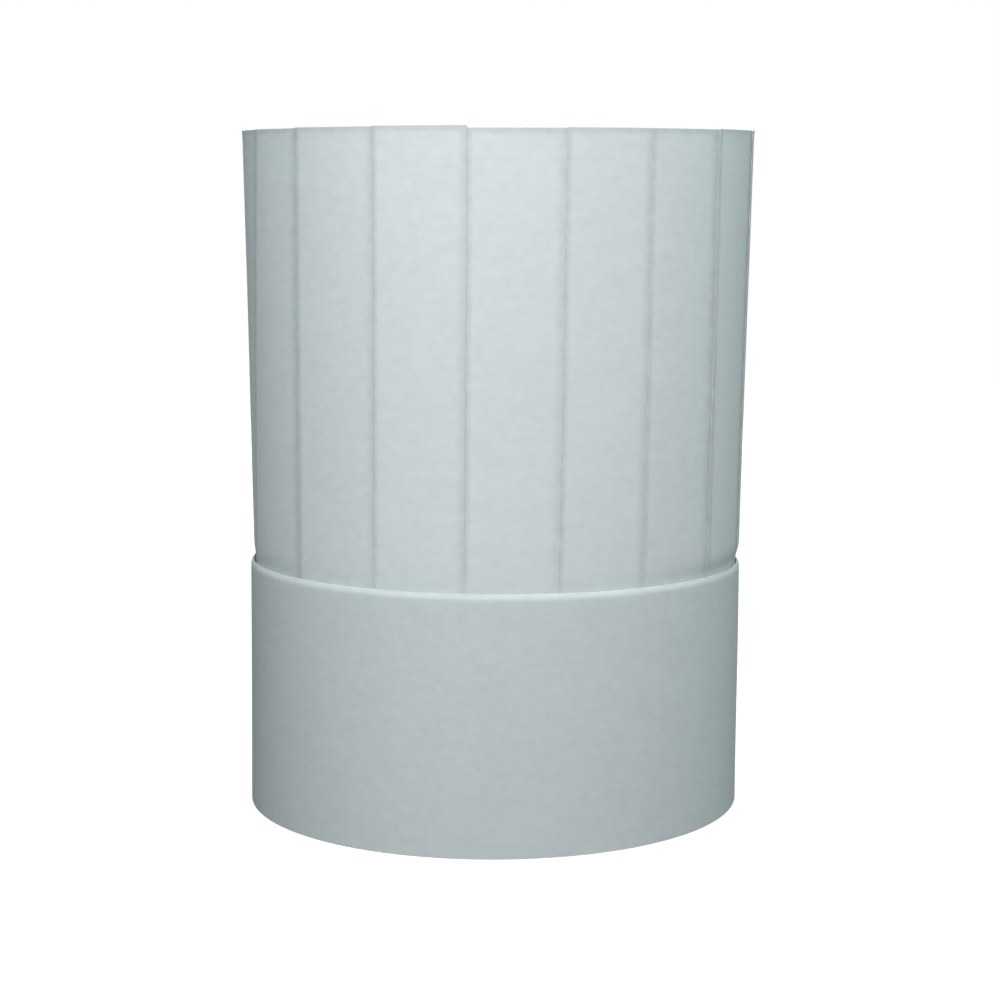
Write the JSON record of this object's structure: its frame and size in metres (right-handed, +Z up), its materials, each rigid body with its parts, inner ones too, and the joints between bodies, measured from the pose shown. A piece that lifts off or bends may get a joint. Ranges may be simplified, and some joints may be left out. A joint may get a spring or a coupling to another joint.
{
  "type": "disposable chef hat",
  "caption": "Tall round disposable chef hat of white non-woven paper: knife-pleated wall, flat top, and a plain band with a folded upper edge.",
  "frame": {"origin": "middle of the band's lower edge, on the surface that the hat stands on", "axes": "+Z up along the hat's height, -Y the front of the hat, +X to the right of someone facing that front; the band's lap is at the back, +Y"},
  "size_m": [0.1868, 0.1867, 0.25],
  "materials": {
    "crown_paper": "matte white non-woven viscose paper, faintly cloudy",
    "band_paper": "matte white non-woven viscose paper, slightly heavier",
    "top_paper": "matte white non-woven viscose paper"
  },
  "bodies": {
    "root": {"crown_wall": "crown_paper", "head_band": "band_paper", "top_panel": "top_paper"}
  },
  "joints": []
}
